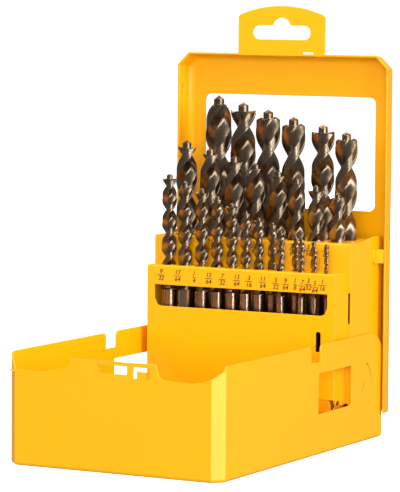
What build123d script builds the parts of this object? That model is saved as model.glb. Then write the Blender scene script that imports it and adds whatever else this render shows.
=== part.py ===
from build123d import *

import os
from math import cos, pi, radians, sin, sqrt, tan

# Folding sheet-steel drill bit case: tray, swing-up rack with its back frame, and 29 pilot-point twist bits.
# Millimetres, +Z up. X runs across the case. While it is drawn, Y = 0 is the rear edge of the tray, which
# reaches forward to Y = -TRAY_L, and the tray lies on its floor at Z = 0. The rack and its back frame turn
# about the two stubs at (PIVOT_Y, PIVOT_Z) and fold forward by 90 degrees to close the case. Every part is
# saved moved by ORIGIN_Y, which centres the whole assembly on the origin.

os.makedirs("parts", exist_ok=True)

# sheet metal
SHEET = 0.9
BEND_R = 1.6

# tray
TRAY_W = 109.2
TRAY_L = 164.3
TRAY_H = 50.8
TRAY_CHAMFER = 4.7
RIM_LOW_Z = 43.4
REAR_LIP_H = 3.4
LATCH_TAB_LEFT = -21.6
LATCH_TAB_RIGHT = 22.6
LATCH_TAB_TOP = 50.1
LATCH_TAB_R = 1.2
WALL_CORNER = 1.6
LATCH_SLOT_W = 14.4
LATCH_SLOT_H = 3.7
LATCH_SLOT_Z = 46.45
LANCE_X = 15.1
LANCE_W = 8.6
LANCE_H = 5.1
LANCE_TOP = 48.2
LANCE_CUT = 1.9
EAR_TIP_X = -54.0
EAR_Z = 43.3
EAR_H = 1.1
WINDOW_Y0 = -68.5
WINDOW_Y1 = -33.4
WINDOW_Z0 = 18.9
WINDOW_Z1 = 37.8
NOTCH_Y0 = -76.4
NOTCH_Y1 = -66.4
NOTCH_Z = 43.1
NOTCH_R = 2.0

# hinge
PIVOT_Y = -15.2
PIVOT_Z = 30.8
STUB_R = 2.4
STUB_CLEARANCE = 0.07
STUB_LENGTH = 2.8
SWING_CLEARANCE = 0.3
SWING_R = PIVOT_Z - SHEET - SWING_CLEARANCE

# back frame
FRAME_W = 113.5
FRAME_RIM_Y = -2.2
FRAME_FLANGE_Y = 4.7
FRAME_FLARE = 8.0
FRAME_BEND_R = 3.9
FRAME_BEND_STEPS = 6
FRAME_BOTTOM = 11.5
FRAME_TOP_GAP = 1.4
FRAME_TOP = PIVOT_Z + TRAY_L + PIVOT_Y + FRAME_TOP_GAP + SHEET
FRAME_CHAMFER = 6.0
FRAME_WINDOW_W = 92.6
FRAME_WINDOW_Z0 = 107.2
FRAME_WINDOW_Z1 = 161.9
FRAME_WINDOW_R = 3.2
FLANGE_SLIT_Z = 164.2
FLANGE_SLIT_H = 4.6
FLANGE_SLIT_Y = 1.0
CATCH_W = 12.0
CATCH_DEPTH = 0.4
CATCH_HALF_L = 1.5
CATCH_Y = 0.6

# the assembly is centred between the front of the tray and the back of the frame
FRAME_BACK_Y = FRAME_FLANGE_Y + FRAME_BEND_R * (1 - sin(radians(FRAME_FLARE)))
ORIGIN_Y = (TRAY_L - FRAME_BACK_Y) / 2

# hang tab
HANG_W = 46.6
HANG_SIDE_TOP = 199.9
HANG_TOP = 205.2
HANG_SHOULDER = 1.0
HANG_SLOT_W = 31.2
HANG_SLOT_Z0 = 189.0
HANG_SLOT_Z1 = 195.8
HANG_PEG_R = 5.2
HANG_PEG_Z = 194.4
HANG_SLIT_X = 14.2
HANG_SLIT_W = 6.0
HANG_SLIT_H = 0.9

# rack
FRONT_STEP_W = 100.2
REAR_STEP_W = 105.2
RACK_FRONT_Y = -43.5
RISER_Y = -31.6
RACK_REAR_Y = 2.6
SHELF_1_Z = 81.0
SHELF_2_Z = 94.5
SIDE_PEAK_Z = 96.5
RISER_BOTTOM_Z = 71.4
CORNER_SLOT_Z = 57.0
CORNER_SLOT_X = 0.7
CORNER_SLOT_Y = 1.1
PANEL_SLOT_Z0 = 61.4
PANEL_SLOT_Z1 = 71.7
PANEL_SLOT_TOP_W = 92.4
PANEL_SLOT_LOW_W = 88.4
PANEL_SLOT_R = 2.4
SIGHT_SLOT_X = 41.6
SIGHT_SLOT_W = 2.8
SIGHT_SLOT_Z0 = 44.3
SIGHT_SLOT_Z1 = 53.9
SIDE_BOTTOM_Z = 5.9
CHEEK_BOTTOM_Z = 19.2
RELIEF_Y0 = -41.2
RELIEF_Y1 = -36.6
RELIEF_H = 2.3
LINK_Z0 = 83.5
LINK_Z1 = 90.1
LINK_SHEET = 0.8
LINK_FRONT_Y = -8.4
LINK_BEND_Y = -2.6

# bit rests: one bent cradle, and a folded stair for the short bits
REST_SHEET = 0.8
FRONT_REST_Z = 16.6
MIDDLE_REST_Z = 6.7
BACK_REST_Z = 9.4
REST_W = 98.2
REST_GAP = 0.1
REST_FRONT_Y = -40.3
REST_STEP_Y = -30.6
MIDDLE_REST_Y0 = -27.4
MIDDLE_REST_Y1 = -15.85
BACK_REST_Y = 1.6
LIP_RISE = 2.6
LIP_IN = 1.7
LIP_OUT = 0.9
LIP_TIP = 0.7
STAIR_Y0 = -40.2
STAIR_Y1 = -32.1

# bits: nominal diameter, overall length and X of the hole, large to small
HOLE_CLEARANCE = 0.3
HOLE_SIDES_LARGE = 16
HOLE_SIDES_SMALL = 12
INCH = 25.4
BACK_Y = -8.8
MIDDLE_Y = -21.4
FRONT_Y = -36.3
ZIG_Y = (-34.3, -38.6)
BACK_BITS = (
    ("1_2", 32, 152.4, -30.2),
    ("31_64", 31, 149.2, -16.8),
    ("15_32", 30, 146.05, -3.3),
    ("29_64", 29, 142.9, 10.4),
    ("7_16", 28, 139.7, 26.2),
    ("27_64", 27, 136.5, 38.6),
)
MIDDLE_BITS = (
    ("13_32", 26, 133.35, -40.9),
    ("25_64", 25, 130.2, -28.0),
    ("3_8", 24, 127.0, -14.9),
    ("23_64", 23, 123.8, -3.3),
    ("11_32", 22, 120.65, 8.8),
    ("21_64", 21, 117.5, 18.8),
    ("5_16", 20, 114.3, 29.0),
    ("19_64", 19, 111.1, 40.4),
)
FRONT_BITS = (
    ("9_32", 18, 107.95, -42.1),
    ("17_64", 17, 104.8, -33.4),
    ("1_4", 16, 101.6, -24.3),
    ("15_64", 15, 98.4, -16.0),
    ("7_32", 14, 95.25, -8.1),
    ("13_64", 13, 92.1, -0.6),
    ("3_16", 12, 88.9, 6.4),
)
# the eight short bits stand in a zigzag, each on its own tread: the last two values are X and tread height
SHORT_BITS = (
    ("11_64", 11, 82.55, 12.6, 21.0),
    ("5_32", 10, 79.4, 19.2, 21.0),
    ("9_64", 9, 73.0, 24.9, 24.7),
    ("1_8", 8, 69.85, 30.1, 27.3),
    ("7_64", 7, 66.7, 34.3, 28.8),
    ("3_32", 6, 57.15, 37.1, 36.0),
    ("5_64", 5, 50.8, 41.0, 43.6),
    ("1_16", 4, 47.6, 43.3, 44.6),
)
STAIR_X = (9.4, 22.1, 27.5, 32.6, 35.8, 39.2, 42.2, 45.2)
STAIR_Z = (21.0, 24.7, 27.3, 28.8, 36.0, 43.6, 44.6)

# twist drill form, as shares of the diameter
PITCH_LARGE = 4.2
PITCH_MIDDLE = 3.8
PITCH_SMALL = 3.4
WEB = 0.42
PILOT_R = 0.18
PILOT_H = 0.36
SPUR_H = 0.05
LAND_ANGLE = 28
LARGE_BIT = 11.0
MIDDLE_BIT = 7.5
STEPS_LARGE = 7
STEPS_SMALL = 5


def bent_strip(points, thickness):
    """Closed outline of a bent sheet: the points of one face and, offset to their right, those of the other."""
    normals = []
    for (x0, y0), (x1, y1) in zip(points, points[1:]):
        length = sqrt((x1 - x0) ** 2 + (y1 - y0) ** 2)
        normals.append(((y1 - y0) / length, (x0 - x1) / length))
    far = []
    for i, (x, y) in enumerate(points):
        a = normals[max(i - 1, 0)]
        b = normals[min(i, len(normals) - 1)]
        scale = thickness / (1 + a[0] * b[0] + a[1] * b[1])
        far.append((x + (a[0] + b[0]) * scale, y + (a[1] + b[1]) * scale))
    return points + far[::-1]


def save(shape, name):
    """Move a finished part to the common origin, name it and write it out."""
    placed = Location((0, ORIGIN_Y, 0)) * shape
    placed.label = name
    export_step(placed, f"parts/{name}.step")


# ---------------------------------------------------------------- tray

def tray_outline(inset, rear):
    """Plan of the tray at its outer face, or moved in by a sheet. The rear end is square."""
    w = TRAY_W / 2 - inset
    front = -TRAY_L + inset
    c = TRAY_CHAMFER - inset * (2 - sqrt(2))
    return [(-w, rear), (-w, front + c), (-w + c, front), (w - c, front), (w, front + c), (w, rear)]


with BuildPart() as tray:
    with BuildSketch(Plane.XY):
        with BuildLine():
            Polyline(*tray_outline(0, 0), close=True)
        make_face()
    extrude(amount=TRAY_H)
    bottom_edges = tray.faces().sort_by(Axis.Z)[0].edges()
    fillet(bottom_edges, radius=BEND_R)
    # the hollow, closed behind by the low rear lip
    with BuildSketch(Plane.XY.offset(SHEET)):
        with BuildLine():
            Polyline(*tray_outline(SHEET, SHEET), close=True)
        make_face()
    extrude(amount=TRAY_H, mode=Mode.SUBTRACT)
    with BuildSketch(Plane.YZ):
        with BuildLine():
            Polyline(
                (-BEND_R, SHEET),
                (-SHEET, BEND_R),
                (-SHEET, REAR_LIP_H),
                (0, REAR_LIP_H),
                (0, BEND_R),
                (-BEND_R * 0.05, SHEET),
                close=True,
            )
        make_face()
    extrude(amount=TRAY_W / 2 - SHEET, both=True)
    # low front rim either side of the latch tab, rising up the corner chamfers
    corner_x = TRAY_W / 2 - TRAY_CHAMFER
    side_x = TRAY_W / 2
    rim_right = [
        (LATCH_TAB_RIGHT - LATCH_TAB_R, TRAY_H + 1),
        (LATCH_TAB_RIGHT - LATCH_TAB_R, LATCH_TAB_TOP),
        (LATCH_TAB_RIGHT - LATCH_TAB_R * 0.3, LATCH_TAB_TOP - LATCH_TAB_R * 0.3),
        (LATCH_TAB_RIGHT, LATCH_TAB_TOP - LATCH_TAB_R),
        (LATCH_TAB_RIGHT + 0.8, RIM_LOW_Z + 1.6),
        (LATCH_TAB_RIGHT + 3.0, RIM_LOW_Z),
        (corner_x - 10.0, RIM_LOW_Z - 0.6),
        (corner_x - 3.6, RIM_LOW_Z + 0.7),
        (corner_x, RIM_LOW_Z + 1.9),
        (side_x, TRAY_H - WALL_CORNER),
        (side_x, TRAY_H + 1),
    ]
    rim_left = [
        (LATCH_TAB_LEFT, TRAY_H + 1),
        (LATCH_TAB_LEFT, LATCH_TAB_TOP - 1.5),
        (LATCH_TAB_LEFT - 0.8, RIM_LOW_Z + 2.6),
        (LATCH_TAB_LEFT - 3.0, RIM_LOW_Z + 1.9),
        (-corner_x + 14.0, RIM_LOW_Z - 0.4),
        (-corner_x, EAR_Z),
        (-side_x, TRAY_H - WALL_CORNER),
        (-side_x, TRAY_H + 1),
    ]
    for rim in (rim_right, rim_left):
        with BuildSketch(Plane.XZ.offset(TRAY_L - TRAY_CHAMFER)):
            with BuildLine():
                Polyline(*rim, close=True)
            make_face()
        extrude(amount=TRAY_CHAMFER + 1, mode=Mode.SUBTRACT)
    with BuildSketch(Plane.XZ.offset(TRAY_L - TRAY_CHAMFER)):
        with Locations(((LATCH_TAB_LEFT + LATCH_TAB_RIGHT) / 2, LATCH_TAB_TOP + 1)):
            Rectangle(LATCH_TAB_RIGHT - LATCH_TAB_LEFT + 2, 2)
    extrude(amount=TRAY_CHAMFER + 1, mode=Mode.SUBTRACT)
    # the rolled rim runs on past the left chamfer as a small pointed ear
    with BuildSketch(Plane.XZ.offset(TRAY_L - SHEET)):
        with BuildLine():
            Polyline(
                (-corner_x + 0.6, EAR_Z - EAR_H),
                (-corner_x + 0.6, EAR_Z),
                (EAR_TIP_X, EAR_Z),
                (-corner_x - 1.0, EAR_Z - EAR_H),
                close=True,
            )
        make_face()
    extrude(amount=SHEET)
    # latch slot and the lanced tongue beside it
    with BuildSketch(Plane.XZ.offset(TRAY_L - TRAY_CHAMFER)):
        with Locations((0.5, LATCH_SLOT_Z)):
            Rectangle(LATCH_SLOT_W, LATCH_SLOT_H)
        with Locations((LANCE_X, LANCE_TOP - LANCE_CUT / 2)):
            Rectangle(LANCE_W, LANCE_CUT)
        for side in (-1, 1):
            with Locations((LANCE_X + side * (LANCE_W - LANCE_CUT) / 2, LANCE_TOP - LANCE_H / 2)):
                Rectangle(LANCE_CUT, LANCE_H)
    extrude(amount=TRAY_CHAMFER + 1, mode=Mode.SUBTRACT)
    # windows and link notches through both side walls
    with BuildSketch(Plane.YZ):
        with Locations(((WINDOW_Y0 + WINDOW_Y1) / 2, (WINDOW_Z0 + WINDOW_Z1) / 2)):
            RectangleRounded(WINDOW_Y1 - WINDOW_Y0, WINDOW_Z1 - WINDOW_Z0, 1.2)
        with BuildLine():
            Polyline(
                (NOTCH_Y0 - NOTCH_R, TRAY_H),
                (NOTCH_Y0 - NOTCH_R * 0.3, TRAY_H - NOTCH_R * 0.3),
                (NOTCH_Y0, TRAY_H - NOTCH_R),
                (NOTCH_Y0, NOTCH_Z),
                (NOTCH_Y1, NOTCH_Z),
                (NOTCH_Y1, TRAY_H - NOTCH_R),
                (NOTCH_Y1 + NOTCH_R * 0.3, TRAY_H - NOTCH_R * 0.3),
                (NOTCH_Y1 + NOTCH_R, TRAY_H),
                (NOTCH_Y1 + NOTCH_R, TRAY_H + 1),
                (NOTCH_Y0 - NOTCH_R, TRAY_H + 1),
                close=True,
            )
        make_face()
        # front top corners of the side walls
        with BuildLine():
            wall_y = -TRAY_L + TRAY_CHAMFER
            Polyline(
                (wall_y - 1, TRAY_H - WALL_CORNER),
                (wall_y, TRAY_H - WALL_CORNER),
                (wall_y + WALL_CORNER * 0.3, TRAY_H - WALL_CORNER * 0.3),
                (wall_y + WALL_CORNER, TRAY_H),
                (wall_y + WALL_CORNER, TRAY_H + 1),
                (wall_y - 1, TRAY_H + 1),
                close=True,
            )
        make_face()
    extrude(amount=TRAY_W / 2 + 1, both=True, mode=Mode.SUBTRACT)
    # rear top corners rounded about the pivot, so that the frame's bends swing past
    with BuildSketch(Plane.YZ):
        with BuildLine():
            corner_r = TRAY_H - PIVOT_Z
            corner_z = PIVOT_Z + sqrt(corner_r ** 2 - PIVOT_Y ** 2)
            RadiusArc((PIVOT_Y, TRAY_H), (0, corner_z), corner_r)
            Polyline((0, corner_z), (1, corner_z), (1, TRAY_H + 1), (PIVOT_Y, TRAY_H + 1), (PIVOT_Y, TRAY_H))
        make_face()
    extrude(amount=TRAY_W / 2 + 1, both=True, mode=Mode.SUBTRACT)
    # curved lances that let the wall round each pivot stub spring
    with BuildSketch(Plane.YZ):
        with BuildLine(mode=Mode.PRIVATE):
            rear_arc = ThreePointArc((-17.5, 37.2), (-13.6, 33.6), (-11.9, 28.0))
            front_arc = ThreePointArc((-19.9, 31.0), (-20.6, 26.6), (-22.4, 22.2))
        SlotArc(rear_arc, 0.5)
        SlotArc(front_arc, 0.5)
    extrude(amount=TRAY_W / 2 + 1, both=True, mode=Mode.SUBTRACT)

save(tray.part, "tray")

for side, name in ((-1, "left"), (1, "right")):
    with BuildPart() as stub:
        with BuildSketch(Plane.YZ.offset(side * (TRAY_W / 2 - SHEET))):
            with Locations((PIVOT_Y, PIVOT_Z)):
                Circle(STUB_R)
        extrude(amount=-side * STUB_LENGTH)
    save(stub.part, f"hinge_stub_{name}")

# ---------------------------------------------------------------- back frame

def frame_outline(inset):
    """Front view of the frame at its rim, or moved in. It runs on below the bottom cut."""
    w = FRAME_W / 2 - inset
    top = FRAME_TOP - inset
    c = FRAME_CHAMFER - inset * (2 - sqrt(2))
    low = FRAME_BOTTOM - 20
    return [(-w, low), (w, low), (w, top - c), (w - c, top), (-w + c, top), (-w, top - c)]


def dish(thickness):
    """Solid within the pan's outer face, or within its inner face: a flared flange, and a bend made in flats."""
    flare = radians(FRAME_FLARE)
    bend_r = FRAME_BEND_R - thickness
    inset = (FRAME_FLANGE_Y - FRAME_RIM_Y) * tan(flare) + thickness * cos(flare)
    depth = FRAME_FLANGE_Y - thickness * sin(flare)
    stations = [(FRAME_RIM_Y, thickness / cos(flare))]
    for i in range(FRAME_BEND_STEPS + 1):
        turn = flare + (pi / 2 - flare) * i / FRAME_BEND_STEPS
        stations.append((depth + bend_r * (sin(turn) - sin(flare)), inset + bend_r * (cos(flare) - cos(turn))))
    with BuildPart() as body:
        for (y0, inset0), (y1, inset1) in zip(stations, stations[1:]):
            with BuildSketch(Plane.XZ.offset(-y0)):
                with BuildLine():
                    Polyline(*frame_outline(inset0), close=True)
                make_face()
            with BuildSketch(Plane.XZ.offset(-y1)):
                with BuildLine():
                    Polyline(*frame_outline(inset1), close=True)
                make_face()
            loft(ruled=True)
    return body.part


frame_outer = dish(0)
frame_inner = dish(SHEET)
hang_foot_z = FRAME_TOP - SHEET / cos(radians(FRAME_FLARE))

with BuildPart() as frame:
    add(frame_outer)
    add(frame_inner, mode=Mode.SUBTRACT)
    # cut the bottom end square
    with BuildSketch(Plane.XY.offset(FRAME_BOTTOM)):
        Rectangle(FRAME_W + 10, 60)
    extrude(amount=-40, mode=Mode.SUBTRACT)
    # window in the panel
    with BuildSketch(Plane.XZ.offset(-FRAME_FLANGE_Y)):
        with Locations((0, (FRAME_WINDOW_Z0 + FRAME_WINDOW_Z1) / 2)):
            RectangleRounded(FRAME_WINDOW_W, FRAME_WINDOW_Z1 - FRAME_WINDOW_Z0, FRAME_WINDOW_R)
    extrude(amount=-2 * FRAME_BEND_R, mode=Mode.SUBTRACT)
    # upright slits in the side flanges
    with BuildSketch(Plane.YZ):
        with Locations((FLANGE_SLIT_Y, FLANGE_SLIT_Z)):
            Rectangle(1.1, FLANGE_SLIT_H)
    extrude(amount=FRAME_W, both=True, mode=Mode.SUBTRACT)
    # seat for the foot of the hanging tab
    with BuildSketch(Plane.XZ.offset(-FRAME_RIM_Y + 1)):
        with Locations((0, FRAME_TOP)):
            Rectangle(HANG_W, 4 * SHEET)
    extrude(amount=-SHEET - 1, mode=Mode.SUBTRACT)
    # slit for the latch tongue in the top flange
    with BuildSketch(Plane.XY.offset(FRAME_TOP - 2)):
        with Locations((HANG_SLIT_X, FRAME_RIM_Y + SHEET + 0.5)):
            Rectangle(HANG_SLIT_W, 1.0)
    extrude(amount=4, mode=Mode.SUBTRACT)

save(frame.part, "back_frame")

with BuildPart() as hang_tab:
    with BuildSketch(Plane.XZ.offset(-FRAME_RIM_Y)):
        with BuildLine():
            half = HANG_W / 2
            neck = half - HANG_SHOULDER
            shoulder_z = HANG_SIDE_TOP + HANG_SHOULDER
            Line((-half, hang_foot_z), (half, hang_foot_z))
            Line((half, hang_foot_z), (half, HANG_SIDE_TOP))
            Line((half, HANG_SIDE_TOP), (neck, shoulder_z))
            ThreePointArc((neck, shoulder_z), (0, HANG_TOP), (-neck, shoulder_z))
            Line((-neck, shoulder_z), (-half, HANG_SIDE_TOP))
            Line((-half, HANG_SIDE_TOP), (-half, hang_foot_z))
        make_face()
        with Locations((0, (HANG_SLOT_Z0 + HANG_SLOT_Z1) / 2)):
            SlotOverall(HANG_SLOT_W, HANG_SLOT_Z1 - HANG_SLOT_Z0, mode=Mode.SUBTRACT)
        with Locations((0, HANG_PEG_Z)):
            Circle(HANG_PEG_R, mode=Mode.SUBTRACT)
        # slit over the top flange for the tip of the latch tongue
        with Locations((HANG_SLIT_X, FRAME_TOP + HANG_SLIT_H / 2)):
            Rectangle(HANG_SLIT_W, HANG_SLIT_H, mode=Mode.SUBTRACT)
    extrude(amount=-SHEET)

save(hang_tab.part, "hang_tab")

# pressed catch on the inside of the top flange, which snaps into the slot of the tray's latch tab
with BuildPart() as catch:
    with BuildSketch(Plane.YZ):
        with BuildLine():
            slope = tan(radians(FRAME_FLARE))
            crown_z = hang_foot_z - (CATCH_Y - FRAME_RIM_Y) * slope
            ahead = (CATCH_Y - CATCH_HALF_L, crown_z + CATCH_HALF_L * slope)
            rear = (CATCH_Y + CATCH_HALF_L, crown_z - CATCH_HALF_L * slope)
            Line(ahead, rear)
            ThreePointArc(rear, (CATCH_Y, crown_z - CATCH_DEPTH), ahead)
        make_face()
    extrude(amount=CATCH_W / 2, both=True)

save(catch.part, "latch_catch")

# ---------------------------------------------------------------- rack

def hole_list(bits, y):
    return [(x, y, d * INCH / 128 + HOLE_CLEARANCE) for _, d, _, x in bits]


with BuildPart() as rear_shelf:
    half = REAR_STEP_W / 2 - SHEET
    with BuildSketch(Plane.XY.offset(SHELF_2_Z)):
        with Locations((0, (RISER_Y + RACK_REAR_Y) / 2)):
            Rectangle(2 * half, RACK_REAR_Y - RISER_Y)
        for x, y, r in hole_list(BACK_BITS, BACK_Y) + hole_list(MIDDLE_BITS, MIDDLE_Y):
            with Locations((x, y)):
                RegularPolygon(r, HOLE_SIDES_LARGE, major_radius=False, mode=Mode.SUBTRACT)
    extrude(amount=-SHEET)
    front_edge = rear_shelf.edges().filter_by(Axis.X).group_by(Axis.Y)[0].sort_by(Axis.Z)[-1]
    fillet(front_edge, radius=0.7)

save(rear_shelf.part, "rack_rear_shelf")

with BuildPart() as riser:
    with BuildSketch(Plane.XZ.offset(-RISER_Y)):
        with Locations((0, (RISER_BOTTOM_Z + SHELF_2_Z - SHEET) / 2)):
            Rectangle(2 * half, SHELF_2_Z - SHEET - RISER_BOTTOM_Z)
    extrude(amount=-SHEET)

save(riser.part, "rack_riser")

for side, name in ((-1, "left"), (1, "right")):
    with BuildPart() as plate:
        with BuildSketch(Plane.YZ.offset(side * REAR_STEP_W / 2)):
            with BuildLine():
                Polyline(
                    (RISER_Y, SIDE_BOTTOM_Z),
                    (-3.0, SIDE_BOTTOM_Z),
                    (RACK_REAR_Y, SIDE_BOTTOM_Z + 2.2),
                    (RACK_REAR_Y, SIDE_PEAK_Z - 0.4),
                    (-5.0, SIDE_PEAK_Z),
                    (-23.0, SHELF_2_Z),
                    (RISER_Y, SHELF_2_Z),
                    close=True,
                )
            make_face()
            with Locations((PIVOT_Y, PIVOT_Z)):
                Circle(STUB_R + STUB_CLEARANCE, mode=Mode.SUBTRACT)
            # tall narrow slot along the corner with the riser
            with Locations((RISER_Y, (CORNER_SLOT_Z + RISER_BOTTOM_Z) / 2)):
                Rectangle(2 * CORNER_SLOT_Y, RISER_BOTTOM_Z - CORNER_SLOT_Z, mode=Mode.SUBTRACT)
        extrude(amount=-side * SHEET)
    save(plate.part, f"rack_side_{name}")

panel_bottom_z = PIVOT_Z - sqrt(SWING_R ** 2 - (PIVOT_Y - RACK_FRONT_Y) ** 2)
with BuildPart() as front_step:
    half = FRONT_STEP_W / 2
    # front panel and shelf, bent from one sheet
    with BuildSketch(Plane.YZ):
        with BuildLine():
            Polyline(
                *bent_strip([(RACK_FRONT_Y, panel_bottom_z), (RACK_FRONT_Y, SHELF_1_Z), (RISER_Y, SHELF_1_Z)], SHEET),
                close=True,
            )
        make_face()
    extrude(amount=half, both=True)
    fillet(front_step.edges().filter_by(Axis.X).filter_by(
        lambda e: abs(e.center().Y - RACK_FRONT_Y) < 0.01 and abs(e.center().Z - SHELF_1_Z) < 0.01), radius=0.8)
    # side cheeks down to the front rest
    for side in (-1, 1):
        with BuildSketch(Plane.YZ.offset(side * half)):
            with BuildLine():
                Polyline(
                    (RACK_FRONT_Y + SHEET, panel_bottom_z),
                    (RELIEF_Y0, CHEEK_BOTTOM_Z),
                    (RISER_Y, CHEEK_BOTTOM_Z),
                    (RISER_Y, SHELF_1_Z - SHEET),
                    (RACK_FRONT_Y + SHEET, SHELF_1_Z - SHEET),
                    close=True,
                )
            make_face()
            # arched relief at the foot of the cheek
            with BuildLine():
                mid = (RELIEF_Y0 + RELIEF_Y1) / 2
                Line((RELIEF_Y0, CHEEK_BOTTOM_Z), (RELIEF_Y1, CHEEK_BOTTOM_Z))
                ThreePointArc(
                    (RELIEF_Y1, CHEEK_BOTTOM_Z),
                    (mid, CHEEK_BOTTOM_Z + RELIEF_H),
                    (RELIEF_Y0, CHEEK_BOTTOM_Z),
                )
            make_face(mode=Mode.SUBTRACT)
        extrude(amount=-side * SHEET)
        # joggle out to the side plate, drawn back at the narrow corner slot
        side_inner = REAR_STEP_W / 2 - SHEET
        with BuildSketch(Plane.XZ.offset(-RISER_Y)):
            with BuildLine():
                Polyline(
                    (side * (half - SHEET), CHEEK_BOTTOM_Z),
                    (side * side_inner, CHEEK_BOTTOM_Z),
                    (side * side_inner, CORNER_SLOT_Z),
                    (side * (side_inner - CORNER_SLOT_X), CORNER_SLOT_Z),
                    (side * (side_inner - CORNER_SLOT_X), RISER_BOTTOM_Z),
                    (side * (half - SHEET), RISER_BOTTOM_Z),
                    close=True,
                )
            make_face()
        extrude(amount=-SHEET)
    # holes for the front row
    with BuildSketch(Plane.XY.offset(SHELF_1_Z)):
        for x, y, r in hole_list(FRONT_BITS, FRONT_Y):
            with Locations((x, y)):
                RegularPolygon(r, HOLE_SIDES_SMALL, major_radius=False)
        for i, (_, d, _, x, _) in enumerate(SHORT_BITS):
            with Locations((x, ZIG_Y[i % 2])):
                RegularPolygon(d * INCH / 128 + HOLE_CLEARANCE, HOLE_SIDES_SMALL, major_radius=False)
    extrude(amount=-SHEET, mode=Mode.SUBTRACT)
    # long viewing slot and the small upright one in the panel
    with BuildSketch(Plane.XZ.offset(-RACK_FRONT_Y + 1)):
        with BuildLine():
            top = PANEL_SLOT_TOP_W / 2
            low = PANEL_SLOT_LOW_W / 2
            Polyline(
                (-top, PANEL_SLOT_Z1),
                (-top, PANEL_SLOT_Z0 + PANEL_SLOT_R + 1.4),
                (-low - 0.6, PANEL_SLOT_Z0 + 0.7),
                (-low + 1.4, PANEL_SLOT_Z0),
                (low - 1.4, PANEL_SLOT_Z0),
                (low + 0.6, PANEL_SLOT_Z0 + 0.7),
                (top, PANEL_SLOT_Z0 + PANEL_SLOT_R + 1.4),
                (top, PANEL_SLOT_Z1),
                close=True,
            )
        make_face()
        with Locations((SIGHT_SLOT_X, (SIGHT_SLOT_Z0 + SIGHT_SLOT_Z1 - 1.4) / 2)):
            Rectangle(SIGHT_SLOT_W, SIGHT_SLOT_Z1 - 1.4 - SIGHT_SLOT_Z0)
        with Locations((SIGHT_SLOT_X, SIGHT_SLOT_Z1 - 1.4)):
            Circle(SIGHT_SLOT_W / 2)
    extrude(amount=-3, mode=Mode.SUBTRACT)

save(front_step.part, "rack_front_step")

# bent cradle that carries the three rows
cradle_top = [
    (RACK_FRONT_Y + SHEET, panel_bottom_z),
    (REST_FRONT_Y, FRONT_REST_Z),
    (REST_STEP_Y, FRONT_REST_Z),
    (MIDDLE_REST_Y0, MIDDLE_REST_Z),
    (MIDDLE_REST_Y1, MIDDLE_REST_Z),
    (MIDDLE_REST_Y1, BACK_REST_Z),
    (BACK_REST_Y, BACK_REST_Z),
]
with BuildPart() as cradle:
    with BuildSketch(Plane.YZ):
        with BuildLine():
            Polyline(*bent_strip(cradle_top, REST_SHEET), close=True)
        make_face()
    extrude(amount=REST_W / 2 - LIP_IN, both=True)
    # the front rest turns up at each end to meet the foot of the cheek
    for side in (-1, 1):
        with BuildSketch(Plane.XZ.offset(-REST_FRONT_Y)):
            with BuildLine():
                foot_x = side * (REST_W / 2 - LIP_IN)
                tip_x = side * (REST_W / 2 + LIP_OUT)
                Polyline(
                    (foot_x, FRONT_REST_Z - REST_SHEET),
                    (foot_x, FRONT_REST_Z),
                    (tip_x - side * LIP_TIP, FRONT_REST_Z + LIP_RISE),
                    (tip_x, FRONT_REST_Z + LIP_RISE),
                    close=True,
                )
            make_face()
        extrude(amount=-(RISER_Y - REST_FRONT_Y))

save(cradle.part, "bit_rest_cradle")

stair_top = [(STAIR_X[0], FRONT_REST_Z)]
for left, right, z in zip(STAIR_X, STAIR_X[1:], STAIR_Z):
    stair_top += [(left, z), (right, z)]
stair_top.append((STAIR_X[-1], FRONT_REST_Z))
with BuildPart() as stair:
    with BuildSketch(Plane.XZ.offset(-STAIR_Y0)):
        with BuildLine():
            Polyline(*bent_strip(stair_top, REST_SHEET), close=True)
        make_face()
    extrude(amount=-(STAIR_Y1 - STAIR_Y0))

save(stair.part, "short_bit_stair")

# tongues that tie the back frame to the rack's side plates
for side, name in ((-1, "left"), (1, "right")):
    inner = REAR_STEP_W / 2
    outer = FRAME_W / 2 - SHEET - 2 * LINK_SHEET * tan(radians(FRAME_FLARE))
    with BuildPart() as link:
        with BuildSketch(Plane.XY.offset(LINK_Z0)):
            with BuildLine():
                Polyline(
                    (side * inner, LINK_FRONT_Y),
                    (side * (inner + LINK_SHEET), LINK_FRONT_Y),
                    (side * (inner + LINK_SHEET), LINK_BEND_Y),
                    (side * outer, FRAME_RIM_Y + 0.1),
                    (side * outer, FRAME_RIM_Y + 0.1 + LINK_SHEET),
                    (side * inner, LINK_BEND_Y + LINK_SHEET),
                    close=True,
                )
            make_face()
        extrude(amount=LINK_Z1 - LINK_Z0)
        front_corners = link.edges().filter_by(Axis.X).group_by(Axis.Y)[0]
        fillet(front_corners, radius=2.0)
    save(link.part, f"link_tongue_{name}")

# ---------------------------------------------------------------- bits

def faceted(rings):
    """Closed solid of flat triangles through rings of points that all have the same count."""
    faces = []
    for low, high in zip(rings, rings[1:]):
        for i, a in enumerate(low):
            b = low[(i + 1) % len(low)]
            c = high[(i + 1) % len(low)]
            d = high[i]
            faces.append(Face(Wire.make_polygon([a, b, c])))
            faces.append(Face(Wire.make_polygon([a, c, d])))
    faces.append(Face(Wire.make_polygon(rings[0])))
    faces.append(Face(Wire.make_polygon(rings[-1])))
    return Solid(Shell(faces))


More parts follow.
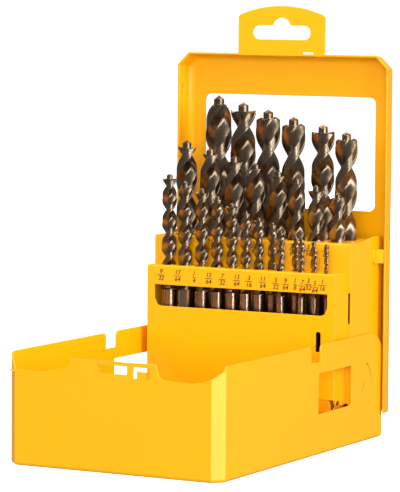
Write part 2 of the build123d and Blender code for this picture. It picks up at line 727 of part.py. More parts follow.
def fluted_end(diameter, z0, z1):
    """Twisted two-flute body from z0 to the shoulder, with spurs and a stepped pilot point."""
    r = diameter / 2
    shoulder = z1 - PILOT_H * diameter
    pitch = PITCH_LARGE if diameter > LARGE_BIT else PITCH_MIDDLE if diameter > MIDDLE_BIT else PITCH_SMALL
    turns = (shoulder - z0) / (pitch * diameter)
    steps = max(6, round(turns * (STEPS_LARGE if diameter > MIDDLE_BIT else STEPS_SMALL)))
    angles = (-LAND_ANGLE, LAND_ANGLE, 90, 180 - LAND_ANGLE, 180 + LAND_ANGLE, 270)

    def ring(z, radii, twist):
        return [
            (q * cos(radians(a) + twist), q * sin(radians(a) + twist), h)
            for a, q, h in zip(angles, radii, z)
        ]

    rings = []
    for i in range(steps + 1):
        share = i / steps
        flute = r * (1 - (1 - WEB) * min(1, i / 1.5))
        radii = (r, r, flute) * 2
        height = z0 + (shoulder - z0) * share
        top = height + (SPUR_H * diameter if i == steps else 0)
        rings.append(ring((top, top, height) * 2, radii, 2 * pi * turns * share))
    end = 2 * pi * turns
    pilot = PILOT_R * diameter
    rings.append(ring((shoulder,) * 6, (pilot,) * 6, end))
    rings.append(ring((z1 - 0.12 * diameter,) * 6, (pilot,) * 6, end))
    rings.append(ring((z1,) * 6, (0.03 * diameter,) * 6, end))
    return faceted(rings)


def make_bit(name, sixty_fourths, length, x, y, rest):
    diameter = sixty_fourths * INCH / 64
    z0 = rest + REST_GAP
    flute_z = z0 + length * (0.46 if diameter > 2.5 else 0.5)
    with BuildPart() as bit:
        with BuildSketch(Plane.XY.offset(z0)):
            Circle(diameter / 2)
        extrude(amount=flute_z - z0)
        add(fluted_end(diameter, flute_z, z0 + length))
    save(Location((x, y, 0)) * bit.part, f"bit_{name}")


for entry in BACK_BITS:
    make_bit(*entry, BACK_Y, BACK_REST_Z)
for entry in MIDDLE_BITS:
    make_bit(*entry, MIDDLE_Y, MIDDLE_REST_Z)
for entry in FRONT_BITS:
    make_bit(*entry, FRONT_Y, FRONT_REST_Z)
for index, (bit_name, size, bit_length, bit_x, tread) in enumerate(SHORT_BITS):
    make_bit(bit_name, size, bit_length, bit_x, ZIG_Y[index % 2], tread)
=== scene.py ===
import math

import bmesh
import bpy
from mathutils import Matrix, Vector


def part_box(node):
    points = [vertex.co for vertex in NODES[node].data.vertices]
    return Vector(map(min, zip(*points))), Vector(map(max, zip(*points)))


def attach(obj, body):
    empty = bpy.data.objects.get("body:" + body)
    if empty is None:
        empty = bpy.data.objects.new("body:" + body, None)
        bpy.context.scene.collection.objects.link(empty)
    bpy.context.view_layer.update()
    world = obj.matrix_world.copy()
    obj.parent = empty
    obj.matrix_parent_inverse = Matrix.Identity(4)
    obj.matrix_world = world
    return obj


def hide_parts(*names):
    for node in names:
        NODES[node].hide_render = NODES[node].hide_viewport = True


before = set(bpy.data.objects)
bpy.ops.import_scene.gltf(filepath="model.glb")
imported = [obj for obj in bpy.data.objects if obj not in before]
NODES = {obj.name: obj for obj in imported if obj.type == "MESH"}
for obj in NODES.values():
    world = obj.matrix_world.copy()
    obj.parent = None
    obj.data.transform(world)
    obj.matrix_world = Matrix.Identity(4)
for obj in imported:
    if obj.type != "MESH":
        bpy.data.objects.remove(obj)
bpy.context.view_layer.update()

# An opened drill bit case in a plain white studio. The tray, rack and frame show their own solids
# under powder coat. Each drill bit is drawn again with ground flutes, in place of its solid.
# Lengths are metres, and MM turns millimetres into them. +Z is up and +X lies to the right.

MM = 0.001
INCH = 25.4

# camera, fitted to the straight edges of the case in an image 492 pixels high: millimetres,
# degrees and pixels
IMAGE_H = 492
FOCAL_PX = 3065.4
SENSOR = 36.0
CAMERA_AZIMUTH = 28.36
CAMERA_ELEVATION = 4.96
CAMERA_ROLL = 0.41
CAMERA_DISTANCE = 1423.8
CAMERA_TARGET = (-4.4, 3.1, 94.3)
CLIP_START = 0.05
CLIP_END = 60.0


# ---------------------------------------------------------------- materials

YELLOW = (0.90, 0.408, 0.002, 1.0)
DEEP_YELLOW = (0.88, 0.385, 0.002, 1.0)
# pale yellow: a painted highlight that the powder coat's sharp edges are lightened towards
EDGE_HIGHLIGHT_YELLOW = (1.0, 0.60, 0.10, 1.0)
WORN_STEEL = (0.55, 0.48, 0.40, 1.0)

# the parts of a noise's values that are spread over a range of roughness, or over two colours
NOISE_RANGE = (0.3, 0.7)
TINT_RANGE = (0.35, 0.7)

# powder coat: noise scales are cells to the metre, and depths are shares of the deeper colour
CLOUD_SCALE = 22.0
CLOUD_DEPTH = 0.35
PEEL_SCALE = 1500.0
PEEL_BUMP = 0.08
PEEL_HEIGHT = 0.05 * MM
RUB_STRETCH = (900.0, 40.0, 60.0)
RUB_MASK = (0.66, 0.8)
RUB_ROUGHNESS = 0.12
SPECK_SCALE = 620.0
SPECK_MASK = (0.74, 0.8)
SPECK_DEPTH = 0.25
POWDER_ROUGHNESS = (0.26, 0.32)
POWDER_SPECULAR = 0.35
POWDER_COAT = 0.3
COAT_ROUGHNESS = 0.2

# bronze steel
TINT_SCALE = 90.0
GRIND_ACROSS = 80.0
GROOVE_HEIGHT = 0.01 * MM
STEEL_EDGE_R = 0.1 * MM
STEEL_EDGE_WEAR = 0.6
STEEL_COAT = 0.2

# printed ink
INK_WEAR_SCALE = 2400.0
INK_WEAR_MASK = (0.55, 0.75)
INK_WEAR = 0.45
INK_GLOSS_SCALE = 900.0
INK_ROUGHNESS = (0.45, 0.6)
INK_GRAIN_SCALE = 3000.0
INK_BUMP = 0.1
INK_HEIGHT = 0.02 * MM

# bevel shader: samples, and the cosines between the true and the rounded normal where the pale
# edge (a painted highlight on the powder coat, wear on the steel) starts and where it is full
BEVEL_SAMPLES = 6
EDGE_MASK_STARTS = 0.995
EDGE_MASK_FULL = 0.86


class Nodes:
    """A small wrapper that adds shader nodes and joins them by socket name."""

    def __init__(self, name):
        self.material = bpy.data.materials.new(name)
        self.material.use_nodes = True
        self.tree = self.material.node_tree
        self.shader = self.tree.nodes["Principled BSDF"]

    def add(self, kind, settings=None, **inputs):
        """A new node with its settings and inputs, where an underscore stands for a space."""
        node = self.tree.nodes.new(kind)
        for key, value in (settings or {}).items():
            setattr(node, key, value)
        for key, value in inputs.items():
            self.put(node.inputs[key.replace("_", " ")], value)
        return node

    def put(self, socket, value):
        """Link another node's output to a socket, or set the socket's own value."""
        if isinstance(value, bpy.types.NodeSocket):
            self.tree.links.new(value, socket)
        else:
            socket.default_value = value

    def noise(self, vector, scale, detail=2.0, roughness=0.5):
        node = self.add(
            "ShaderNodeTexNoise", Vector=vector, Scale=scale, Detail=detail, Roughness=roughness
        )
        return node.outputs["Fac"]

    def ramp(self, value, low, high, at_low=0.0, at_high=1.0):
        """The value carried from low..high to at_low..at_high, and held at the ends."""
        node = self.add("ShaderNodeMapRange")
        self.put(node.inputs["Value"], value)
        ends = (("From Min", low), ("From Max", high), ("To Min", at_low), ("To Max", at_high))
        for key, number in ends:
            node.inputs[key].default_value = number
        return node.outputs["Result"]

    def mix(self, factor, a, b):
        """Colour a where the factor is 0 and b where it is 1."""
        node = self.add("ShaderNodeMix", {"data_type": "RGBA"})
        self.put(node.inputs["Factor"], factor)
        # of the node's many sockets named A, B and Result, these are the ones for colour
        self.put(node.inputs[6], a)
        self.put(node.inputs[7], b)
        return node.outputs[2]

    def maths(self, operation, a, b):
        node = self.add("ShaderNodeMath", {"operation": operation})
        self.put(node.inputs[0], a)
        self.put(node.inputs[1], b)
        return node.outputs[0]

    def bump(self, height, strength, distance, normal=None):
        node = self.add("ShaderNodeBump", Strength=strength, Distance=distance)
        self.put(node.inputs["Height"], height)
        if normal is not None:
            self.put(node.inputs["Normal"], normal)
        return node.outputs["Normal"]

    def place(self):
        return self.add("ShaderNodeTexCoord").outputs["Object"]

    def stretched(self, vector, scale):
        return self.add("ShaderNodeMapping", Vector=vector, Scale=scale).outputs["Vector"]

    def edges(self, radius):
        """Rounded normal, and a mask that is 1 where it leaves the true normal, at sharp edges."""
        bevel = self.add("ShaderNodeBevel", {"samples": BEVEL_SAMPLES}, Radius=radius)
        rounded = bevel.outputs["Normal"]
        true = self.add("ShaderNodeNewGeometry").outputs["Normal"]
        dot = self.add("ShaderNodeVectorMath", {"operation": "DOT_PRODUCT"})
        self.put(dot.inputs[0], rounded)
        self.put(dot.inputs[1], true)
        return rounded, self.ramp(dot.outputs["Value"], EDGE_MASK_STARTS, EDGE_MASK_FULL)


def powder_coat(name, edge_radius, painted_edge_highlight):
    """Satin powder coat: orange peel, thin pale edges that are a painted highlight, faint rub
    marks and dust.
    """
    n = Nodes(name)
    at = n.place()
    rounded, edge = n.edges(edge_radius)
    cloud = n.noise(at, CLOUD_SCALE, detail=3.0)
    peel = n.noise(at, PEEL_SCALE)
    scuffs = n.noise(n.stretched(at, RUB_STRETCH), 1.0, detail=3.0, roughness=0.6)
    rubs = n.ramp(scuffs, *RUB_MASK)
    specks = n.ramp(n.noise(at, SPECK_SCALE, detail=1.0), *SPECK_MASK)
    base = n.mix(n.ramp(cloud, *TINT_RANGE, 0.0, CLOUD_DEPTH), YELLOW, DEEP_YELLOW)
    # the sharp edges lightened towards pale yellow: a painted highlight
    base = n.mix(n.maths("MULTIPLY", edge, painted_edge_highlight), base, EDGE_HIGHLIGHT_YELLOW)
    base = n.mix(n.maths("MULTIPLY", specks, SPECK_DEPTH), base, DEEP_YELLOW)
    n.put(n.shader.inputs["Base Color"], base)
    satin = n.ramp(cloud, *NOISE_RANGE, *POWDER_ROUGHNESS)
    rough = n.maths("ADD", satin, n.maths("MULTIPLY", rubs, RUB_ROUGHNESS))
    n.put(n.shader.inputs["Roughness"], rough)
    n.shader.inputs["Specular IOR Level"].default_value = POWDER_SPECULAR
    n.shader.inputs["Coat Weight"].default_value = POWDER_COAT
    n.shader.inputs["Coat Roughness"].default_value = COAT_ROUGHNESS
    n.put(n.shader.inputs["Normal"], n.bump(peel, PEEL_BUMP, PEEL_HEIGHT, rounded))
    return n.material


def bronze_steel(name, dark, light, roughness, grind, groove):
    """Ground high-speed steel under a dark bronze oxide, worn bright along its sharp edges.

    grind is how closely the grinding marks lie along the bit, and groove how strong they are.
    """
    n = Nodes(name)
    at = n.place()
    rounded, edge = n.edges(STEEL_EDGE_R)
    cloud = n.noise(at, TINT_SCALE, detail=3.0)
    marks = n.noise(n.stretched(at, (GRIND_ACROSS, GRIND_ACROSS, grind)), 1.0)
    tint = n.mix(n.ramp(cloud, *TINT_RANGE), dark, light)
    tint = n.mix(n.maths("MULTIPLY", edge, STEEL_EDGE_WEAR), tint, WORN_STEEL)
    n.put(n.shader.inputs["Base Color"], tint)
    n.shader.inputs["Metallic"].default_value = 1.0
    n.put(n.shader.inputs["Roughness"], n.ramp(marks, *NOISE_RANGE, *roughness))
    n.put(n.shader.inputs["Normal"], n.bump(marks, groove, GROOVE_HEIGHT, rounded))
    n.shader.inputs["Coat Weight"].default_value = STEEL_COAT
    n.shader.inputs["Coat Roughness"].default_value = COAT_ROUGHNESS
    return n.material


def printed_ink(name, colour):
    """Thin ink that lets a little of the paint through where it is worn."""
    n = Nodes(name)
    at = n.place()
    patches = n.noise(at, INK_WEAR_SCALE, detail=3.0)
    worn = n.ramp(patches, *INK_WEAR_MASK, 0.0, INK_WEAR)
    n.put(n.shader.inputs["Base Color"], n.mix(worn, colour, YELLOW))
    rough = n.ramp(n.noise(at, INK_GLOSS_SCALE), *NOISE_RANGE, *INK_ROUGHNESS)
    n.put(n.shader.inputs["Roughness"], rough)
    grain = n.noise(at, INK_GRAIN_SCALE)
    n.put(n.shader.inputs["Normal"], n.bump(grain, INK_BUMP, INK_HEIGHT))
    return n.material


# the pale edges of both coats are a painted highlight, fainter on the bent frame
powder = powder_coat("yellow_powder", edge_radius=0.35 * MM, painted_edge_highlight=0.45)
bent_powder = powder_coat("bent_powder", edge_radius=1.0 * MM, painted_edge_highlight=0.1)
fluted_steel = bronze_steel(
    "bronze_flutes", dark=(0.27, 0.195, 0.125, 1.0), light=(0.35, 0.265, 0.18, 1.0),
    roughness=(0.28, 0.34), grind=900.0, groove=0.05,
)
shank_steel = bronze_steel(
    "bronze_shank", dark=(0.48, 0.36, 0.24, 1.0), light=(0.58, 0.45, 0.31, 1.0),
    roughness=(0.25, 0.27), grind=2600.0, groove=0.01,
)
# dark brown painted shade for the slits of the lances, drawn with the ink shader
lance_slit_shade = printed_ink("lance_slit_shade", (0.09, 0.04, 0.012, 1.0))
ink = printed_ink("size_ink", (0.05, 0.03, 0.015, 1.0))
riser_ink = printed_ink("riser_ink", (0.10, 0.045, 0.01, 1.0))

for node_name, node_object in NODES.items():
    node_object.data.materials.clear()
    node_object.data.materials.append(bent_powder if node_name == "back_frame" else powder)


# ---------------------------------------------------------------- mesh helper

CREASE_ANGLE = 35.0


def make_piece(name, vertices, faces, materials, face_materials=None, crease=CREASE_ANGLE):
    """A mesh object with smooth shading, and creases at edges sharper than crease degrees."""
    mesh = bpy.data.meshes.new(name)
    mesh.from_pydata(vertices, [], faces)
    for material in materials:
        mesh.materials.append(material)
    for index, polygon in enumerate(mesh.polygons):
        polygon.use_smooth = True
        if face_materials:
            polygon.material_index = face_materials[index]
    mesh.set_sharp_from_angle(angle=math.radians(crease))
    piece = bpy.data.objects.new(name, mesh)
    bpy.context.scene.collection.objects.link(piece)
    return piece


# ---------------------------------------------------------------- bits

# name, diameter in 64ths of an inch, length in mm, how far a waist (where the lands face the
# camera edge on) lies under the tip in mm, and the pitch of the flutes as a share of the diameter
BITS = (
    ("1_2", 32, 152.4, 3.4, 4.08),
    ("31_64", 31, 149.2, 11.8, 3.6),
    ("15_32", 30, 146.05, 20.0, 4.0),
    ("29_64", 29, 142.9, 18.8, 4.0),
    ("7_16", 28, 139.7, 13.5, 3.6),
    ("27_64", 27, 136.5, 16.6, 3.96),
    ("13_32", 26, 133.35, 7.3, 3.8),
    ("25_64", 25, 130.2, 5.8, 3.94),
    ("3_8", 24, 127.0, 7.4, 4.08),
    ("23_64", 23, 123.8, 3.5, 4.0),
    ("11_32", 22, 120.65, 4.3, 3.92),
    ("21_64", 21, 117.5, 3.4, 3.77),
    ("5_16", 20, 114.3, 7.0, 3.7),
    ("19_64", 19, 111.1, 11.5, 3.6),
    ("9_32", 18, 107.95, 6.0, 3.2),
    ("17_64", 17, 104.8, 9.5, 3.2),
    ("1_4", 16, 101.6, 6.0, 3.2),
    ("15_64", 15, 98.4, 3.0, 3.1),
    ("7_32", 14, 95.25, 5.0, 3.1),
    ("13_64", 13, 92.1, 3.0, 3.1),
    ("3_16", 12, 88.9, 4.0, 3.2),
    ("11_64", 11, 82.55, 3.0, 3.3),
    ("5_32", 10, 79.4, 2.0, 3.4),
    ("9_64", 9, 73.0, 3.0, 3.5),
    ("1_8", 8, 69.85, 2.0, 3.8),
    ("7_64", 7, 66.7, 2.5, 4.0),
    ("3_32", 6, 57.15, 2.0, 4.2),
    ("5_64", 5, 50.8, 1.5, 4.4),
    ("1_16", 4, 47.6, 1.5, 4.4),
)

# section of the flutes: degrees, and shares of the drill's radius
LAND_HALF = 27.0
MARGIN = 10.0
WEB_R = 0.4
RELIEF = 0.965
FLUTE_POWER = 2.3

# form along the bit, as shares of the diameter
SHANK_CHAMFER = 0.06
RUN_OUT = 0.9
SPUR_H = 0.05
SHOULDER_CLEARANCE = 0.09
PILOT_R = 0.2
PILOT_H = 0.36
CHISEL_FALL = 0.05
# rings in from the shoulder's edge, as shares of the radius, and the pilot's rings: shares of its
# radius, and height as a share of the diameter
SHOULDER_RINGS = (0.75, 0.5)
PILOT_RINGS = ((1.0, 0.0), (1.0, 0.24), (0.5, 0.30), (0.0, PILOT_H))

# where the flutes start: a share of the length, and never as low as the rack's front slot, which
# shows plain shanks
SMALL_BIT = 2.5 * MM
FLUTE_START = 0.46
SMALL_FLUTE_START = 0.5
FLUTE_LOW_Z = 69.0 * MM

# mesh density
RING_POINTS = 48
LAND_STEPS = 4
CORNER_CROWDING = 0.35
RINGS_PER_TURN = 26
MIN_RINGS = 12
WELD = 1e-7

FLUTED, PLAIN = 0, 1
PLAIN_BANDS = 2


def from_land(angle):
    """An angle round the section measured from the nearer land, -90 to 90 degrees."""
    return (angle + 90.0) % 180.0 - 90.0


def section_radius(angle):
    """Radius of the fluted section, as a share of the drill's radius, at an angle in degrees."""
    a = from_land(angle)
    if LAND_HALF - MARGIN <= a <= LAND_HALF:
        return 1.0
    if -LAND_HALF <= a < LAND_HALF:
        return RELIEF
    across = abs((abs(a) - 90.0) / (90.0 - LAND_HALF))
    edge = 1.0 if a > 0 else RELIEF
    return WEB_R + (edge - WEB_R) * across ** FLUTE_POWER


def section_angles():
    """Angles round the section, closer together at the corners of the lands."""
    step = LAND_HALF - MARGIN - 1.0
    half = [-LAND_HALF + (step + LAND_HALF) * i / LAND_STEPS for i in range(LAND_STEPS + 1)]
    half += [LAND_HALF - MARGIN, LAND_HALF - MARGIN / 2, LAND_HALF]
    flute_steps = RING_POINTS // 2 - len(half) + 1
    span = 180.0 - 2 * LAND_HALF
    for i in range(1, flute_steps):
        share = i / flute_steps
        crowd = CORNER_CROWDING * math.sin(2 * math.pi * share) / (2 * math.pi)
        half.append(LAND_HALF + span * (share - crowd))
    return half + [a + 180.0 for a in half]


def shoulder_fall(angle, share):
    """Height of the ground shoulder over its plane, as a share of the diameter.

    share is how far out the point lies. The leading corner has a spur, with clearance behind it.
    """
    a = from_land(angle)
    behind = 1.0
    if abs(a) <= LAND_HALF:
        behind = min(1.0, max(0.0, (LAND_HALF - a) / (2 * LAND_HALF)))
    return (SPUR_H * (1 - behind) - SHOULDER_CLEARANCE * behind) * share ** 4


ANGLES = section_angles()


def twist_bit(name, sixty_fourths, length, waist, pitch):
    """Fine mesh of one bit, in the place of its CAD node, fluted to a pilot point."""
    node_name = f"bit_{name}"
    low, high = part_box(node_name)
    x = (low[0] + high[0]) / 2
    y = (low[1] + high[1]) / 2
    z0 = low[2]
    diameter = sixty_fourths * INCH / 64 * MM
    r = diameter / 2
    top = z0 + length * MM
    flute_start = FLUTE_START if diameter > SMALL_BIT else SMALL_FLUTE_START
    flute_z = max(z0 + length * MM * flute_start, FLUTE_LOW_Z)
    shoulder = top - PILOT_H * diameter
    lead = pitch * diameter
    turns = (shoulder - flute_z) / lead
    edge_on = math.radians(CAMERA_AZIMUTH - 90)
    start = edge_on - 2 * math.pi * (top - waist * MM - flute_z) / lead
    end = start + 2 * math.pi * turns
    vertices = []
    rows = []

    def ring(twist, point):
        """One row of vertices. point gives the radius and height at an angle of the section."""
        first = len(vertices)
        for a in ANGLES:
            radius, z = point(a)
            turned = math.radians(a) + twist
            vertices.append((x + radius * math.cos(turned), y + radius * math.sin(turned), z))
        rows.append(range(first, len(vertices)))

    def shoulder_point(a, radius):
        return radius, shoulder + shoulder_fall(a, radius / r) * diameter

    chamfer = SHANK_CHAMFER * diameter
    for radius, z in ((r - chamfer, z0), (r, z0 + chamfer), (r, flute_z)):
        ring(0.0, lambda a: (radius, z))

    count = max(MIN_RINGS, round(turns * RINGS_PER_TURN))
    for i in range(1, count + 1):
        z = flute_z + (shoulder - flute_z) * i / count
        depth = math.sin(min(1.0, (z - flute_z) / (RUN_OUT * diameter)) * math.pi / 2)

        def fluted(a):
            radius = r * (1 - (1 - section_radius(a)) * depth)
            return shoulder_point(a, radius) if i == count else (radius, z)

        ring(start + 2 * math.pi * turns * i / count, fluted)

    pilot = PILOT_R * diameter
    for share in SHOULDER_RINGS:
        ring(end, lambda a: shoulder_point(a, max(pilot, r * section_radius(a) * share)))
    for share, height in PILOT_RINGS:
        # the chisel edge: above its foot the pilot is cut lower on the sides away from the lands
        fall = CHISEL_FALL if height else 0.0
        ring(end, lambda a: (
            pilot * share,
            shoulder + (height - 0.5 * (1 - math.cos(math.radians(2 * a))) * fall) * diameter,
        ))

    faces = [tuple(reversed(rows[0]))]
    face_materials = [PLAIN]
    for band, (lower, upper) in enumerate(zip(rows, rows[1:])):
        for i in range(len(ANGLES)):
            j = (i + 1) % len(ANGLES)
            faces.append((lower[i], lower[j], upper[j], upper[i]))
            face_materials.append(PLAIN if band < PLAIN_BANDS else FLUTED)
    faces.append(tuple(rows[-1]))
    face_materials.append(FLUTED)
    steels = (fluted_steel, shank_steel)
    piece = make_piece(f"fine_bit_{name}", vertices, faces, steels, face_materials)
    weld = bmesh.new()
    weld.from_mesh(piece.data)
    bmesh.ops.remove_doubles(weld, verts=weld.verts, dist=WELD)
    weld.to_mesh(piece.data)
    weld.free()
    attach(piece, f"drill_{name}")
    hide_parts(node_name)


for entry in BITS:
    twist_bit(*entry)


# ---------------------------------------------------------------- lances by the pivots

TRAY_HALF_W = 54.6 * MM
# how far the painted slit shade lies inside the wall's outer face
SLIT_SHADE_DEPTH = 0.08 * MM
LANCE_POINTS = 14
# how far past its first and last point a lance would taper out, in steps between points
BLUNT = 0.6
# each lance as three points of its arc in Y and Z, in mm from the middle of the pivot, and its
# width in mm
LANCES = (
    ((-2.3, 6.4), (1.6, 2.8), (3.3, -2.8), 0.38),
    ((-4.7, 0.2), (-5.4, -4.2), (-7.2, -8.6), 0.5),
)


def arc_through(a, b, c, count):
    """Points and unit normals along the arc from a by way of b to c."""
    (ax, ay), (bx, by), (cx, cy) = a, b, c
    d = 2 * (ax * (by - cy) + bx * (cy - ay) + cx * (ay - by))
    sq = [px * px + py * py for px, py in (a, b, c)]
    ux = (sq[0] * (by - cy) + sq[1] * (cy - ay) + sq[2] * (ay - by)) / d
    uy = (sq[0] * (cx - bx) + sq[1] * (ax - cx) + sq[2] * (bx - ax)) / d
    radius = math.hypot(ax - ux, ay - uy)
    first = math.atan2(ay - uy, ax - ux)
    sweep = (math.atan2(cy - uy, cx - ux) - first + math.pi) % (2 * math.pi) - math.pi
    out = []
    for i in range(count):
        t = first + sweep * i / (count - 1)
        nx, ny = math.cos(t), math.sin(t)
        out.append((ux + radius * nx, uy + radius * ny, nx, ny))
    return out


def lance_slit_shadows():
    """Dark painted shade in each narrow lance of the tray's side walls, a hair under their faces,
    standing in for the shadow in the slit.
    """
    low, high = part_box("hinge_stub_right")
    pivot_y, pivot_z = (low[1] + high[1]) / 2, (low[2] + high[2]) / 2
    vertices = []
    faces = []
    for side in (-1, 1):
        x = side * (TRAY_HALF_W - SLIT_SHADE_DEPTH)
        for a, b, c, width in LANCES:
            start = len(vertices)
            for i, (py, pz, ny, nz) in enumerate(arc_through(a, b, c, LANCE_POINTS)):
                along = math.pi * (i + BLUNT) / (LANCE_POINTS - 1 + 2 * BLUNT)
                taper = math.sin(along) ** 0.5
                half = 0.5 * width * taper
                for sign in (-1, 1):
                    y = pivot_y + (py + sign * half * ny) * MM
                    z = pivot_z + (pz + sign * half * nz) * MM
                    vertices.append((x, y, z))
            for i in range(LANCE_POINTS - 1):
                k = start + 2 * i
                faces.append((k, k + 1, k + 3, k + 2))
    piece = make_piece("lance_slit_shadows", vertices, faces, (lance_slit_shade,))
    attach(piece, "tray")


lance_slit_shadows()


# ---------------------------------------------------------------- printed sizes

INK_LIFT = 0.06 * MM
LABEL_SIZE = 3.1 * MM
# shares of the label size: how far a figure is fattened, its middle's distance from the bar, half
# the bar's thickness, and half the bar's width under one figure and under two
GLYPH_WEIGHT = 0.018
GLYPH_SHEAR = 0.2
STACK = 0.52
BAR_HALF_H = 0.05
BAR_HALF_W = (0.34, 0.62)
# the figures over and under the bar, and the bar's X and Z in mm
FRONT_LABELS = (
    ("9", "32", -42.6, 76.3),
    ("17", "64", -33.6, 76.2),
    ("1", "4", -24.7, 76.0),
    ("15", "64", -16.7, 75.9),
    ("7", "32", -9.4, 75.8),
    ("13", "64", -1.7, 75.7),
    ("3", "16", 4.9, 75.6),
    ("11", "64", 12.2, 75.5),
    ("5", "32", 19.1, 75.3),
    ("9", "64", 24.2, 75.3),
    ("1", "8", 29.2, 75.6),
    ("7", "64", 33.0, 75.0),
    ("3", "32", 36.2, 75.9),
    ("5", "64", 39.6, 74.8),
    ("1", "16", 43.4, 75.8),
)
RISER_LABELS = (
    ("13", "32", -35.6, 90.6),
    ("25", "64", -22.4, 90.6),
    ("3", "8", -9.4, 90.6),
    ("23", "64", 1.7, 90.6),
    ("11", "32", 12.2, 90.6),
    ("21", "64", 21.9, 90.6),
    ("5", "16", 30.2, 90.6),
    ("19", "64", 39.4, 90.6),
)


def glyphs(text):
    """Flat figures as vertices and faces, centred on the origin in their own plane."""
    curve = bpy.data.curves.new("glyphs", "FONT")
    curve.body = text
    curve.size = LABEL_SIZE
    curve.align_x = "CENTER"
    curve.align_y = "CENTER"
    curve.offset = GLYPH_WEIGHT * LABEL_SIZE
    curve.shear = GLYPH_SHEAR
    carrier = bpy.data.objects.new("glyphs", curve)
    bpy.context.scene.collection.objects.link(carrier)
    mesh = carrier.to_mesh()
    vertices = [tuple(v.co) for v in mesh.vertices]
    faces = [tuple(p.vertices) for p in mesh.polygons]
    carrier.to_mesh_clear()
    bpy.data.objects.remove(carrier)
    bpy.data.curves.remove(curve)
    return vertices, faces


def fraction_labels(name, labels, y, material):
    """Stacked fractions standing on an upright face at y."""
    vertices = []
    faces = []

    def place(part, x, z):
        start = len(vertices)
        vertices.extend((x + vx, y, z + vy) for vx, vy, _ in part[0])
        faces.extend(tuple(start + i for i in face) for face in part[1])

    for over, under, x_mm, z_mm in labels:
        x, z = x_mm * MM, z_mm * MM
        w = LABEL_SIZE * BAR_HALF_W[len(under) - 1]
        h = LABEL_SIZE * BAR_HALF_H
        place(glyphs(over), x, z + STACK * LABEL_SIZE)
        place(([(-w, -h, 0), (w, -h, 0), (w, h, 0), (-w, h, 0)], [(0, 1, 2, 3)]), x, z)
        place(glyphs(under), x, z - STACK * LABEL_SIZE)
    piece = make_piece(name, vertices, faces, (material,))
    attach(piece, "rack_frame")


front_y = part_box("rack_front_step")[0][1] - INK_LIFT
riser_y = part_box("rack_riser")[0][1] - INK_LIFT
fraction_labels("front_sizes", FRONT_LABELS, front_y, ink)
fraction_labels("riser_sizes", RISER_LABELS, riser_y, riser_ink)


# ---------------------------------------------------------------- studio

FLOOR_WHITE = (0.88, 0.88, 0.88, 1.0)
FLOOR_BRIGHT = (0.9, 0.9, 0.9, 1.0)
FLOOR_CLOUD_SCALE = 3.0
FLOOR_CLOUD = 0.1
FLOOR_GLOW = 0.62
FLOOR_ROUGHNESS = 0.8
FLOOR_HALF_W = 6.0
FLOOR_FRONT = -4.0
FLOOR_BACK = 2.6
SWEEP_R = 1.0
SWEEP_STEPS = 8
SWEEP_CREASE = 60
BACKDROP_TOP = 4.0

LIGHTS_AIM = Vector((0.0, 0.0, 0.09))
# azimuth (0 in front of the case, 90 to its right) and elevation in degrees, distance, width and
# height in metres, power in watts, and whether gloss shows the light
SOFTBOXES = (
    ("fill", 22, 9, 1.7, 1.2, 0.8, 21.0, False),
    ("right", 78, 28, 1.5, 0.5, 0.9, 11.5, True),
    ("low_right", 84, 7, 1.5, 0.3, 0.5, 4.0, True),
    ("strip", 61.5, 2, 1.4, 0.12, 0.9, 5.2, True),
    ("left", 285, 25, 1.6, 0.8, 0.8, 9.0, False),
    ("behind", 205, 30, 1.6, 1.0, 0.8, 14.0, False),
    ("overhead", 30, 82, 1.3, 1.0, 1.0, 14.0, True),
)

# strength of the white world: in diffuse light, in gloss, and where the camera sees it
AMBIENT = 0.50
AMBIENT_IN_GLOSS = 0.17
AMBIENT_SEEN = 1.0


def studio_white():
    """Matt white with a soft glow, so that the floor runs into the background."""
    n = Nodes("studio_white")
    tone = n.ramp(n.noise(n.place(), FLOOR_CLOUD_SCALE), *NOISE_RANGE, 0.0, FLOOR_CLOUD)
    n.put(n.shader.inputs["Base Color"], n.mix(tone, FLOOR_WHITE, FLOOR_BRIGHT))
    n.shader.inputs["Roughness"].default_value = FLOOR_ROUGHNESS
    n.shader.inputs["Emission Color"].default_value = (1.0, 1.0, 1.0, 1.0)
    n.shader.inputs["Emission Strength"].default_value = FLOOR_GLOW
    return n.material


def sweep_floor():
    """Floor that curves up into a backdrop, well behind the case as the camera sees it."""
    profile = [(FLOOR_FRONT, 0.0), (FLOOR_BACK, 0.0)]
    for i in range(1, SWEEP_STEPS + 1):
        a = math.radians(90 * i / SWEEP_STEPS)
        profile.append((FLOOR_BACK + SWEEP_R * math.sin(a), SWEEP_R - SWEEP_R * math.cos(a)))
    profile.append((FLOOR_BACK + SWEEP_R, BACKDROP_TOP))
    vertices = []
    for along, up in profile:
        vertices += [(-FLOOR_HALF_W, along, up), (FLOOR_HALF_W, along, up)]
    faces = [(2 * i, 2 * i + 1, 2 * i + 3, 2 * i + 2) for i in range(len(profile) - 1)]
    piece = make_piece("studio_floor", vertices, faces, (studio_white(),), crease=SWEEP_CREASE)
    piece.data.transform(Matrix.Rotation(math.radians(CAMERA_AZIMUTH), 4, "Z"))
    return piece


floor = sweep_floor()
floor.visible_glossy = False
floor.visible_diffuse = False


def outward(azimuth, elevation):
    """Unit vector away from the case, towards an azimuth and elevation in degrees."""
    a, e = math.radians(azimuth), math.radians(elevation)
    return Vector((math.sin(a) * math.cos(e), -math.cos(a) * math.cos(e), math.sin(e)))


def softbox(name, azimuth, elevation, distance, width, height, power, in_gloss):
    """Rectangular area light aimed at the case."""
    light = bpy.data.lights.new(name, "AREA")
    light.shape = "RECTANGLE"
    light.size = width
    light.size_y = height
    light.energy = power
    lamp = bpy.data.objects.new(name, light)
    bpy.context.scene.collection.objects.link(lamp)
    away = outward(azimuth, elevation)
    lamp.location = LIGHTS_AIM + away * distance
    lamp.rotation_euler = away.to_track_quat("Z", "Y").to_euler()
    lamp.visible_glossy = in_gloss


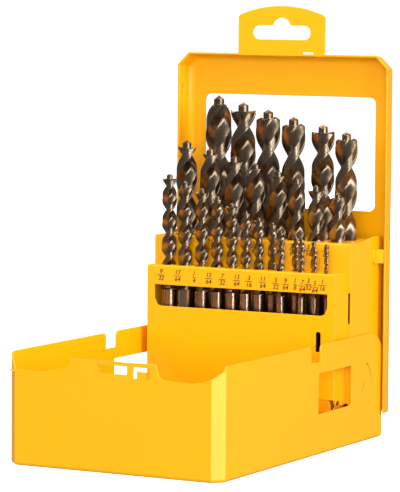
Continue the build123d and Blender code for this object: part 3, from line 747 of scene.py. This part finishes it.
def studio_world():
    """White world, dimmer in gloss than in diffuse light, and pure white to the camera."""
    world = bpy.data.worlds.new("studio")
    world.use_nodes = True
    tree = world.node_tree
    background = tree.nodes["Background"]
    path = tree.nodes.new("ShaderNodeLightPath")
    lighting = tree.nodes.new("ShaderNodeMix")
    seen = tree.nodes.new("ShaderNodeMix")
    tree.links.new(path.outputs["Is Glossy Ray"], lighting.inputs["Factor"])
    lighting.inputs["A"].default_value = AMBIENT
    lighting.inputs["B"].default_value = AMBIENT_IN_GLOSS
    tree.links.new(path.outputs["Is Camera Ray"], seen.inputs["Factor"])
    tree.links.new(lighting.outputs["Result"], seen.inputs["A"])
    seen.inputs["B"].default_value = AMBIENT_SEEN
    tree.links.new(seen.outputs["Result"], background.inputs["Strength"])
    background.inputs["Color"].default_value = (1.0, 1.0, 1.0, 1.0)
    # a world that is sampled as a light would pass over the split by kind of ray
    world.cycles.sampling_method = "NONE"
    bpy.context.scene.world = world


for entry in SOFTBOXES:
    softbox(*entry)
studio_world()
bpy.context.scene.view_settings.view_transform = "Standard"


# ---------------------------------------------------------------- camera

def place_camera():
    """The photograph's camera. Its lens is set along the height, the longer side of the image."""
    back = outward(CAMERA_AZIMUTH, CAMERA_ELEVATION)
    right = (-back).cross(Vector((0, 0, 1))).normalized()
    up = right.cross(-back)
    roll = math.radians(CAMERA_ROLL)
    rolled_right = right * math.cos(roll) + up * math.sin(roll)
    rolled_up = up * math.cos(roll) - right * math.sin(roll)
    data = bpy.data.cameras.new("camera")
    data.sensor_width = SENSOR
    data.lens = FOCAL_PX / IMAGE_H * SENSOR
    data.clip_start = CLIP_START
    data.clip_end = CLIP_END
    data.dof.use_dof = False
    camera = bpy.data.objects.new("camera", data)
    bpy.context.scene.collection.objects.link(camera)
    location = Vector(CAMERA_TARGET) * MM + back * (CAMERA_DISTANCE * MM)
    basis = Matrix((rolled_right, rolled_up, back)).transposed().to_4x4()
    camera.matrix_world = Matrix.Translation(location) @ basis
    bpy.context.scene.camera = camera


place_camera()
